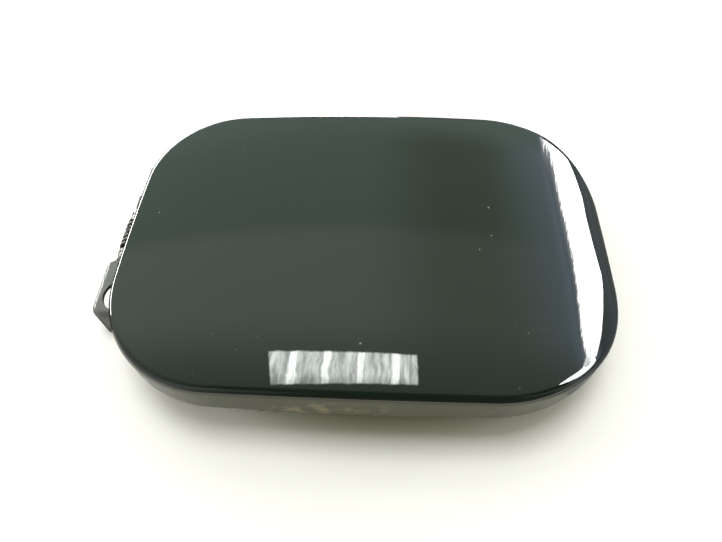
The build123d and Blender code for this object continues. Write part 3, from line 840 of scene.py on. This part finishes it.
class FUELDOOR_OT_rivets(bpy.types.Operator):
    """Make the domed rivets of the arm's foot and the striker's flange"""

    bl_idname = "fuel_door.rivets"
    bl_label = "Rivets"

    head_radius: length("Head radius", "Radius of the domed head", 0.0034)
    head_height: length("Head height", "Height of the domed head", 0.0013)
    shank_radius: length("Shank radius", "Radius of the shank", 0.0019)
    tail_radius: length("Tail radius", "Radius of the upset tail", 0.0029)
    tail_height: length("Tail height", "Height of the upset tail", 0.0008)
    tail_rounding: level("Tail rounding", "Edge radius of the tail as a share of its height", 0.3)

    def profile(self, low, high):
        """Half section from the dome's crown, along the shank, to the tail."""
        grip_low, grip_high = low + self.head_height, high - self.tail_height
        centre = (0.0, grip_low)
        dome = quarter_round(centre, self.head_radius, -self.head_height, first=85, last=0, steps=12)
        edge = self.tail_rounding * self.tail_height
        rim = quarter_round((self.tail_radius - edge, high - edge), edge, edge, first=0, last=90, steps=5)
        shank = [(self.shank_radius, grip_low), (self.shank_radius, grip_high)]
        shoulder = [(self.tail_radius, grip_high)]
        return np.concatenate((dome, shank, shoulder, rim))

    def execute(self, context):
        for node in ("arm_rivets", "striker_rivets"):
            low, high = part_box(node)
            ends_x = {round(low.x + self.head_radius, 6), round(high.x - self.head_radius, 6)}
            ends_y = {round(low.y + self.head_radius, 6), round(high.y - self.head_radius, 6)}
            profile = self.profile(low.z, high.z)
            parts = []
            for x in sorted(ends_x):
                for y in sorted(ends_y):
                    rings = turned_rings(profile, (x, y))
                    parts.append(closed_tube(rings, (x, y, low.z), (x, y, high.z)))
            points, faces = joined(parts)
            piece = make_piece(f"domed_{node}", points, faces, "plated_steel")
            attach(piece, "door")
            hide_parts(node)
        return {"FINISHED"}


# Shares of a bumper's radius and edge radius: rings on its flat sole, and its tip's drop and slope
SOLE_RING = 0.35
SOLE_EDGE = 1.4
TIP_DROP = 0.15
TIP_SLOPE = 0.2


class FUELDOOR_OT_bumpers(bpy.types.Operator):
    """Make the two rubber bumpers with their rounded pads, necks and barbs"""

    bl_idname = "fuel_door.bumpers"
    bl_label = "Bumpers"

    pad_height: length("Pad height", "Height of the pad below the hem", 0.0056)
    neck_radius: length("Neck radius", "Radius of the neck through the hem", 0.0024)
    neck_height: length("Neck height", "Thickness of the two sheets that the neck passes", 0.0016)
    barb_radius: length("Barb radius", "Radius of the barb's shoulder", 0.0031)
    tip_radius: length("Tip radius", "Radius of the barb's tip", 0.0021)
    round_off: length("Edge radius", "Radius of the pad's edges", 0.0013)

    def profile(self, radius, low, high):
        """Half section from the middle of the pad's sole to the tip of the barb."""
        soft = self.round_off
        hem = low + self.pad_height
        shoulder = hem + self.neck_height
        half = soft / 2
        tip_radius = self.tip_radius
        sole = [(SOLE_RING * radius, low), (radius - SOLE_EDGE * soft, low)]
        foot = quarter_round((radius - soft, low + soft), soft, soft, first=-90, last=0)
        rim = quarter_round((radius - half, hem - half), half, half, first=0, last=90)
        neck = [(self.neck_radius, hem), (self.neck_radius, shoulder), (self.barb_radius, shoulder)]
        tip = [(tip_radius, high - TIP_DROP * soft), (tip_radius - TIP_SLOPE * soft, high)]
        return np.concatenate((sole, foot, rim, neck, tip))

    def execute(self, context):
        for side in ("front", "back"):
            low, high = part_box(f"bumper_{side}")
            place = ((low.x + high.x) / 2, (low.y + high.y) / 2)
            rings = turned_rings(self.profile((high.x - low.x) / 2, low.z, high.z), place)
            points, faces = closed_tube(rings, (*place, low.z), (*place, high.z))
            piece = make_piece(f"rubber_bumper_{side}", points, faces, "rubber")
            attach(piece, "door")
            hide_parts(f"bumper_{side}")
        return {"FINISHED"}


class FUELDOOR_OT_metalwork(bpy.types.Operator):
    """Give the inner panel, hinge, striker, bushes and pads their finishes"""

    bl_idname = "fuel_door.metalwork"
    bl_label = "Metalwork Finishes"

    def execute(self, context):
        wears = {
            "inner_panel": "inner_paint",
            "hinge_base": "bracket_paint",
            "hinge_arm": "bracket_paint",
            "striker": "plated_steel",
            "hinge_pin": "plated_steel",
            "pin_clip": "spring_steel",
            "bush_front": "nylon",
            "bush_back": "nylon",
            "flutter_pads": "mastic",
        }
        for node, name in wears.items():
            piece = frame["nodes"][node]
            piece.data.materials.clear()
            piece.data.materials.append(finish(name))
        return {"FINISHED"}


def stage_sheet(name, points, spread, material):
    """A sheet of the stage from a grid of points (rows, columns, 3), its UV map given at each point."""
    rows, columns, _ = points.shape
    first = (np.arange(rows - 1)[:, None] * columns + np.arange(columns - 1)).ravel()
    faces = np.stack((first, first + 1, first + columns + 1, first + columns), axis=-1)
    mesh = bpy.data.meshes.new(name)
    mesh.from_pydata(points.reshape(-1, 3).tolist(), [], faces.tolist())
    corners = spread.reshape(-1, 2)[faces.ravel()]
    mesh.uv_layers.new(name="spread").data.foreach_set("uv", corners.ravel())
    mesh.materials.append(material)
    sheet = add_object(name, mesh)
    return sheet


def flat_card(name, corner, along, across, material):
    """A flat sheet: corner + u along + v across, for u and v from 0 to 1."""
    spread = np.stack(np.meshgrid((0.0, 1.0), (0.0, 1.0)), axis=-1)
    points = np.asarray(corner) + spread[..., :1] * np.asarray(along) + spread[..., 1:] * np.asarray(across)
    return stage_sheet(name, points, spread, material)


def level_card(name, card, middle, height, material):
    """A level sheet, given from the face's middle by its corner and the length of its sides."""
    (x, y), (size_x, size_y) = card
    corner = (middle[0] + x, middle[1] + y, height)
    return flat_card(name, corner, (size_x, 0, 0), (0, size_y, 0), material)


def round_card(name, middle, stations, material, fringe=0.0, columns=96, rows=13):
    """An upright sheet round the part: middle + R (sin h, cos h, s) for heading h and slope s.

    Stations give the heading in degrees with the lowest and highest slope, joined by straight runs. The
    sheet goes on above the highest slope by the fringe. The UV map holds the heading as a share of a right
    angle, and how far the slope is over the highest one.
    """
    headings, low, high = np.asarray(stations).T
    heading = np.linspace(headings[0], headings[-1], columns)
    low, high = (np.interp(heading, headings, limit) for limit in (low, high))
    share = np.linspace(0, 1, rows)[:, None]
    slope = low + share * (high + fringe - low)
    turned = np.broadcast_to(np.radians(heading), slope.shape)
    points = middle + ROOM_RADIUS * np.stack((np.sin(turned), np.cos(turned), slope), axis=-1)
    spread = np.stack((np.broadcast_to(heading / 90, slope.shape), slope - high), axis=-1)
    return stage_sheet(name, points, spread, material)


def glossy_only(card):
    """Lets a card show in reflections alone, so that it neither lights the scene nor casts a shadow."""
    card.visible_camera = False
    card.visible_diffuse = False
    card.visible_transmission = False
    card.visible_volume_scatter = False
    card.visible_shadow = False


def card_light(name):
    """An emission material with its tree and its emission shader."""
    material = bpy.data.materials.new(name)
    material.use_nodes = True
    tree = material.node_tree
    tree.nodes.clear()
    glow = add_node(tree, "ShaderNodeEmission", {"Strength": 1.0})
    add_node(tree, "ShaderNodeOutputMaterial", {"Surface": glow.outputs[0]})
    return material, tree, glow


def plain_light(name, colour):
    """One even tone."""
    material, _, glow = card_light(name)
    set_sockets(glow, {"Color": colour})
    return material


# The ceiling lamp as it shows in the paint, from the face's middle: each side at its first end and its lean
LAMP_LEFT = (-0.429, -0.236)
LAMP_RIGHT = (0.169, -0.01)
LAMP_NEAR = (0.4168, 0.025)
LAMP_FAR = (0.5377, -0.0067)
LAMP_START = 0.411
LAMP_BLUR = 0.005
LAMP_TINT = (0.93, 1.0, 0.93)
FIRST_TUBE = -0.349
TUBE_PITCH = 0.142

# Tones of the ceiling at its left and right, each near and far
CEILING_LEFT = ((1.34, 1.54, 1.32, 1.0), (0.96, 1.25, 1.05, 1.0))
CEILING_RIGHT = ((0.91, 1.07, 0.88, 1.0), (0.68, 0.85, 0.64, 1.0))

# Tones over those: the axis each grows along, where it starts and where it is full
CEILING_OVER = (
    (0, 0.50, 1.10, (1.48, 1.82, 2.15, 1.0)),
    (1, 1.78, 2.05, (1.04, 1.36, 1.20, 1.0)),
    (1, 0.75, 0.35, (0.54, 0.60, 0.53, 1.0)),
)
CEILING_OVERHEAD = (0.05, 0.05, 0.05, 1.0)


def ceiling_tone(tree, axes):
    """Colour of the bare ceiling: dim, darkest overhead, and white far off at the left and the back."""
    right = smooth_step(tree, axes[0], -0.12, 0.36)
    far = smooth_step(tree, axes[1], 1.08, 1.24)
    left_tone = mix_colours(tree, far, *CEILING_LEFT)
    right_tone = mix_colours(tree, far, *CEILING_RIGHT)
    tone = mix_colours(tree, right, left_tone, right_tone)
    for axis, start, full, over in CEILING_OVER:
        tone = mix_colours(tree, smooth_step(tree, axes[axis], start, full), tone, over)
    near = smooth_step(tree, axes[1], 0.43, 0.27)
    inside = smooth_step(tree, axes[0], -1.2, -0.5)
    tone = mix_colours(tree, product(tree, near, inside), tone, CEILING_OVERHEAD)
    left_end = smooth_step(tree, axes[0], -1.5, -2.4)
    back_end = smooth_step(tree, axes[1], 2.15, 2.8)
    return mix_colours(tree, combine(tree, "MAXIMUM", left_end, back_end), tone, WHITE)


def tube_lamp(tree, shifted, axes):
    """The ceiling lamp: colour of its tubes behind a streaky diffuser, and a mask inside its edges."""
    deep = combine(tree, "SUBTRACT", axes[1], LAMP_START)
    waver = noise(tree, shifted, scale=16.0, detail=2.0)
    across = combine(tree, "ADD", axes[0], smooth_step(tree, waver, 0.3, 0.7, -LAMP_BLUR, LAMP_BLUR))
    squeezed = product(tree, axes[1], 0.16)
    bent = add_node(tree, "ShaderNodeCombineXYZ", {0: across, 1: squeezed}).outputs[0]
    streaks = noise(tree, bent, scale=38.0, detail=4.0, roughness=0.65)
    diffuser = smooth_step(tree, streaks, 0.34, 0.66, 8.0, 19.0)
    along = combine(tree, "DIVIDE", combine(tree, "SUBTRACT", across, FIRST_TUBE), TUBE_PITCH)
    share = combine(tree, "FRACT", combine(tree, "ADD", along, 0.5))
    from_tube = combine(tree, "ABSOLUTE", combine(tree, "SUBTRACT", share, 0.5))
    tube = smooth_step(tree, from_tube, 0.075, 0.13, 13.0, 0.0)
    dimmed = smooth_step(tree, deep, 0.0, 0.045, 0.62, 1.0)
    strength = product(tree, combine(tree, "ADD", diffuser, tube), dimmed)
    inputs = {0: LAMP_TINT, "Scale": strength}
    lamp = add_node(tree, "ShaderNodeVectorMath", inputs, operation="SCALE").outputs[0]
    inside = []
    for (first, lean), value, other, facing in (
        (LAMP_LEFT, axes[0], deep, 1),
        (LAMP_RIGHT, axes[0], deep, -1),
        (LAMP_NEAR, axes[1], axes[0], 1),
        (LAMP_FAR, axes[1], axes[0], -1),
    ):
        edge = combine(tree, "MULTIPLY_ADD", other, lean, first)
        past = combine(tree, "SUBTRACT", value, edge)
        inside.append(smooth_step(tree, past, -LAMP_BLUR * facing, LAMP_BLUR * facing))
    return lamp, product(tree, *inside)


def ceiling_light(middle):
    """Dim ceiling in a few tones, with a lamp of four tubes behind a streaky diffuser."""
    material, tree, glow = card_light("ceiling_light")
    shifted = combine_vectors(tree, "SUBTRACT", object_coordinates(tree), middle)[0]
    axes = axes_of(tree, shifted)
    lamp, inside = tube_lamp(tree, shifted, axes)
    set_sockets(glow, {"Color": mix_colours(tree, inside, ceiling_tone(tree, axes), lamp)})
    return material


# The room's openings as the paint shows them, on a round wall: heading, lowest slope and highest slope
ROOM_RADIUS = 0.85
FRINGE = 0.17
WINDOW = (
    (30.5, 0.52, 0.535),
    (32.7, 0.515, 0.54),
    (37, 0.44, 0.495),
    (39, 0.395, 0.515),
    (41, 0.345, 0.56),
    (43.7, 0.27, 0.60),
    (46, 0.205, 0.615),
    (48.5, 0.16, 0.635),
    (52.4, 0.117, 0.68),
    (55, 0.144, 0.735),
    (58.3, 0.14, 0.85),
    (60.7, 0.126, 0.938),
    (62.8, 0.11, 0.96),
    (64.5, 0.157, 0.937),
    (66.6, 0.27, 0.868),
    (68.3, 0.414, 0.83),
    (68.8, 0.60, 0.80),
)
ROOF_LIGHT = (
    (60.6, 1.50, 1.57),
    (62, 1.35, 1.62),
    (63.6, 1.15, 1.66),
    (65.3, 0.82, 1.68),
    (70, 0.68, 1.64),
    (75, 0.66, 1.57),
    (80, 0.63, 1.48),
    (85, 0.62, 1.39),
    (91, 0.64, 1.20),
    (95, 0.70, 1.08),
    (98, 0.75, 0.95),
)

# The dim end of the room behind the camera, in the same way
DIM_FRONT = ((112, -0.03, 2.6), (245, -0.03, 2.6))

# The row of lamps along the room's left and back, which draws the bright line on the door's rim
LAMP_ROW = ((-80, 0.105, 0.25), (2, 0.105, 0.25))

# The dim wall behind the window: heading of its square line from +Y, distance, first end, length and height
WALL_HEADING = np.radians(77)
WALL_DISTANCE = 1.5
WALL_START = -3.4
WALL_LENGTH = 5.0
WALL_HEIGHT = 1.55

# The wall at the back: its first end from the face's middle, length and height; and both walls' foot
END_PLACE = (0.16, 3.15)
END_LENGTH = 3.0
END_HEIGHT = 1.53
WALL_FOOT = -0.03

# Level cards from the face's middle: corner along X and Y, and length of each side
CEILING_CARD = ((-3.5, -0.6), (7.0, 3.8))
# The two floor cards are dark sheets just over the table, seen in reflections alone: painted dark
# reflections along the door's rim.
RIGHT_REFLECTION_SHADE = ((0.075, -0.11), (1.7, 3.2))
BACK_REFLECTION_SHADE = ((-1.6, -0.03), (1.675, 3.2))
FLOOR_LIFT = 0.0005

# Tones of the openings and the plain cards
SKY_TONE = (26.0, 26.5, 26.5, 1.0)
HAZY_TONE = (3.3, 3.5, 3.5, 1.0)
FRINGE_TONE = (1.40, 1.62, 1.95, 1.0)
ROW_TONE = (48.0, 48.6, 48.6, 1.0)
END_TONE = (0.40, 0.44, 0.42, 1.0)
# The floor cards' tones are painted dark reflections, not the table's own white.
RIGHT_REFLECTION_SHADE_TONE = (0.40, 0.42, 0.42, 1.0)
BACK_REFLECTION_SHADE_TONE = (0.04, 0.04, 0.04, 1.0)
FRONT_TONES = ((0.03, 0.03, 0.03, 1.0), (1.0, 1.0, 0.95, 1.0))
WALL_TONES = ((0.50, 0.56, 0.62, 1.0), (0.05, 0.055, 0.06, 1.0))
WALL_TOP_TONE = (1.35, 1.58, 1.90, 1.0)


def spread_coordinates(tree):
    """The card's own UV map."""
    return add_node(tree, "ShaderNodeTexCoord").outputs["UV"]


def window_light():
    """Bright sky behind glass, with a torn dim fringe over its upper edge."""
    material, tree, glow = card_light("window_light")
    spread = spread_coordinates(tree)
    over = axes_of(tree, spread)[1]
    squeeze = {"Vector": spread, "Scale": (150.0, 9.0, 1.0)}
    streaked = add_node(tree, "ShaderNodeMapping", squeeze).outputs[0]
    torn = noise(tree, streaked, scale=1.0, detail=4.0, roughness=0.65)
    lifted = combine(tree, "ADD", over, smooth_step(tree, torn, 0.28, 0.72, -0.06, 0.06))
    glass = combine(tree, "POWER", smooth_step(tree, lifted, -0.030, 0.030, 1.0, 0.0), 2.0)
    hazy = smooth_step(tree, combine(tree, "ADD", over, lifted), -0.05, 1.8 * FRINGE, 1.0, 0.0)
    tone = mix_colours(tree, hazy, FRINGE_TONE, HAZY_TONE)
    set_sockets(glow, {"Color": mix_colours(tree, glass, tone, SKY_TONE)})
    return material


def front_light():
    """The dim room in front, darkest behind the camera and paler towards both sides."""
    material, tree, glow = card_light("front_light")
    heading = axes_of(tree, spread_coordinates(tree))[0]
    left = smooth_step(tree, heading, 2.1, 2.65)
    right = smooth_step(tree, heading, 1.5, 1.25, 0.0, 0.7)
    sides = combine(tree, "MAXIMUM", left, right)
    set_sockets(glow, {"Color": mix_colours(tree, sides, *FRONT_TONES)})
    return material


def wall_light(origin, along):
    """Dim wall behind the window: grey, nearly black at its far end, and paler blue at its top."""
    material, tree, glow = card_light("wall_light")
    shifted = combine_vectors(tree, "SUBTRACT", object_coordinates(tree), origin)[0]
    run = combine_vectors(tree, "DOT_PRODUCT", shifted, along)[1]
    rise = axes_of(tree, shifted)[2]
    tone = mix_colours(tree, smooth_step(tree, run, -0.75, -1.1), *WALL_TONES)
    tone = mix_colours(tree, smooth_step(tree, rise, 0.7, 1.0), tone, WALL_TOP_TONE)
    set_sockets(glow, {"Color": tone})
    return material


def room_cards(middle, high, table_z):
    """The room round the table, which shows in reflections alone."""
    out = np.array((np.sin(WALL_HEADING), np.cos(WALL_HEADING), 0))
    along = np.array((np.cos(WALL_HEADING), -np.sin(WALL_HEADING), 0))
    origin = middle + WALL_DISTANCE * out
    wall_start = origin + WALL_START * along + (0, 0, WALL_FOOT)
    wall_rise, end_rise = (0, 0, WALL_HEIGHT), (0, 0, END_HEIGHT)
    end_start = middle + (*END_PLACE, WALL_FOOT)
    end_tone = plain_light("end_tone", END_TONE)
    floor_z = table_z + FLOOR_LIFT
    # Dark sheets that paint dark reflections of the table along the rim
    right_tone = plain_light("right_reflection_shade_tone", RIGHT_REFLECTION_SHADE_TONE)
    back_shade_tone = plain_light("back_reflection_shade_tone", BACK_REFLECTION_SHADE_TONE)
    cards = (
        level_card("ceiling", CEILING_CARD, middle, middle[2] + high, ceiling_light(middle)),
        flat_card("window_wall", wall_start, WALL_LENGTH * along, wall_rise, wall_light(origin, along)),
        flat_card("end_wall", end_start, (END_LENGTH, 0, 0), end_rise, end_tone),
        round_card("window", middle, WINDOW, window_light(), FRINGE),
        round_card("roof_light", middle, ROOF_LIGHT, plain_light("sky_tone", SKY_TONE)),
        round_card("dim_front", middle, DIM_FRONT, front_light()),
        round_card("lamp_row", middle, LAMP_ROW, plain_light("row_tone", ROW_TONE)),
        level_card("right_reflection_shade", RIGHT_REFLECTION_SHADE, middle, floor_z, right_tone),
        level_card("back_reflection_shade", BACK_REFLECTION_SHADE, middle, floor_z, back_shade_tone),
    )
    for card in cards:
        glossy_only(card)


def seen_rays(tree):
    """One for what the camera, a reflection or a clear piece sees, none for what only lights the scene."""
    path = add_node(tree, "ShaderNodeLightPath").outputs
    seen = combine(tree, "MAXIMUM", path["Is Camera Ray"], path["Is Glossy Ray"])
    return combine(tree, "MAXIMUM", seen, path["Is Transmission Ray"])


def table_top(stage, middle):
    """White table with a barely visible drift of tone, that runs out into a plain white surround."""
    material, tree, shader = new_finish("table_top")
    place = object_coordinates(tree)
    drift = noise(tree, place, scale=3.0, detail=2.0)
    colour = mix_colours(tree, drift, scaled(stage.table, 0.985), opaque(stage.table))
    away = combine_vectors(tree, "DISTANCE", place, middle)[1]
    white = product(tree, seen_rays(tree), smooth_step(tree, away, 0.080, 0.21))
    set_sockets(
        shader,
        {
            "Base Color": colour,
            "Roughness": 0.6,
            "Specular IOR Level": 0.0,
            "Emission Color": WHITE,
            "Emission Strength": white,
        },
    )
    return material


def room_light(stage):
    """World: warm fill for the scene, plain white where the camera or a reflection sees it."""
    world = bpy.data.worlds.new("room_light")
    world.use_nodes = True
    tree = world.node_tree
    tree.nodes.clear()
    seen = seen_rays(tree)
    fill = add_node(tree, "ShaderNodeBackground", {"Color": opaque(stage.fill), "Strength": 1.0}).outputs[0]
    white = add_node(tree, "ShaderNodeBackground", {"Color": WHITE, "Strength": 1.0}).outputs[0]
    mixed = add_node(tree, "ShaderNodeMixShader", {0: seen, 1: fill, 2: white}).outputs[0]
    add_node(tree, "ShaderNodeOutputWorld", {"Surface": mixed})
    bpy.context.scene.world = world


def area_lamp(name, place, aim, size, power, colour):
    """A soft rectangular lamp that faces its aim and stays out of reflections."""
    lamp = bpy.data.lights.new(name, "AREA")
    lamp.shape = "RECTANGLE"
    lamp.size, lamp.size_y = size
    lamp.energy = power
    lamp.color = colour
    holder = add_object(name, lamp)
    holder.location = place
    holder.rotation_mode = "QUATERNION"
    holder.rotation_quaternion = (Vector(aim) - Vector(place)).to_track_quat("-Z", "Y")
    holder.visible_glossy = False


def lamps(stage, middle):
    """A lamp overhead, a broad soft one behind it and a low one at each side, from the face's middle."""
    plain, pale_green = (1.0, 1.0, 1.0), (0.985, 1.0, 0.96)
    for name, place, size, power, colour in (
        ("key_lamp", (-0.04, 0.14, stage.ceiling), (0.55, 0.55), stage.key_power, plain),
        ("sky_lamp", (0.0, 0.3, 1.9), (2.6, 2.2), stage.sky_power, pale_green),
        ("left_lamp", (-1.1, 0.12, 0.42), (0.4, 0.4), stage.left_power, plain),
        ("right_lamp", (1.1, 0.34, 0.42), (0.4, 0.4), stage.right_power, plain),
    ):
        area_lamp(name, middle + place, middle, size, power, colour)


def photo_camera(stage, middle):
    """The camera as a distance, rise, swing and roll about its aim point on the face."""
    rise, swing, roll = stage.camera_rise, stage.camera_swing, stage.camera_roll
    back = Vector((np.sin(swing) * np.cos(rise), -np.cos(swing) * np.cos(rise), np.sin(rise)))
    right = (-back).cross(Vector((0, 0, 1))).normalized()
    up = right.cross(-back)
    turned_right = np.cos(roll) * right + np.sin(roll) * up
    turned_up = np.cos(roll) * up - np.sin(roll) * right
    place = Vector(middle) + Vector((stage.aim_x, stage.aim_y, 0)) + stage.camera_distance * back
    camera = bpy.data.cameras.new("camera")
    camera.sensor_width = SENSOR_WIDTH
    camera.lens = SENSOR_WIDTH * stage.focal_pixels / PICTURE_WIDTH
    camera.clip_start = NEAREST_VIEW
    holder = add_object("camera", camera)
    turned = Matrix((turned_right, turned_up, back)).transposed().to_4x4()
    holder.matrix_world = Matrix.Translation(place) @ turned
    bpy.context.scene.camera = holder


class FUELDOOR_OT_stage(bpy.types.Operator):
    """Set the table, the room's reflections, the lamps and the camera"""

    bl_idname = "fuel_door.stage"
    bl_label = "Studio"

    table_half: length("Table half size", "Half the side of the white table", 4.0)

    def execute(self, context):
        skin, _, _, stage = settings()
        middle = door_box(skin)[0]
        table_z = cad_box[0][2]
        half = self.table_half
        corner = (-half, -half, table_z)
        flat_card("table", corner, (2 * half, 0, 0), (0, 2 * half, 0), table_top(stage, middle))
        room_cards(middle, stage.ceiling, table_z)
        room_light(stage)
        lamps(stage, middle)
        photo_camera(stage, middle)
        context.scene.view_settings.view_transform = "Standard"
        return {"FINISHED"}


class FUELDOOR_PT_tools(bpy.types.Panel):
    """Sidebar list of the fuel door's pieces"""

    bl_idname = "FUELDOOR_PT_tools"
    bl_label = "Fuel Door"
    bl_space_type = "VIEW_3D"
    bl_region_type = "UI"
    bl_category = "Fuel Door"

    def draw(self, context):
        for operator in OPERATORS:
            self.layout.operator(operator.bl_idname)


GROUPS = {
    "fuel_door_skin": FuelDoorSkinSizes,
    "fuel_door_spring": FuelDoorSpringSizes,
    "fuel_door_finishes": FuelDoorFinishes,
    "fuel_door_stage": FuelDoorStage,
}
OPERATORS = (
    FUELDOOR_OT_skin,
    FUELDOOR_OT_spring,
    FUELDOOR_OT_rivets,
    FUELDOOR_OT_bumpers,
    FUELDOOR_OT_metalwork,
    FUELDOOR_OT_stage,
)
CLASSES = (*GROUPS.values(), *OPERATORS, FUELDOOR_PT_tools)


def register():
    for item in CLASSES:
        bpy.utils.register_class(item)
    for name, group in GROUPS.items():
        setattr(bpy.types.Scene, name, bpy.props.PointerProperty(type=group))


def unregister():
    for name in GROUPS:
        delattr(bpy.types.Scene, name)
    for item in reversed(CLASSES):
        bpy.utils.unregister_class(item)


def main():
    """Makes every piece and the stage."""
    register()
    bpy.ops.fuel_door.skin()
    bpy.ops.fuel_door.spring()
    bpy.ops.fuel_door.rivets()
    bpy.ops.fuel_door.bumpers()
    bpy.ops.fuel_door.metalwork()
    bpy.ops.fuel_door.stage()


if __name__ == "__main__":
    main()
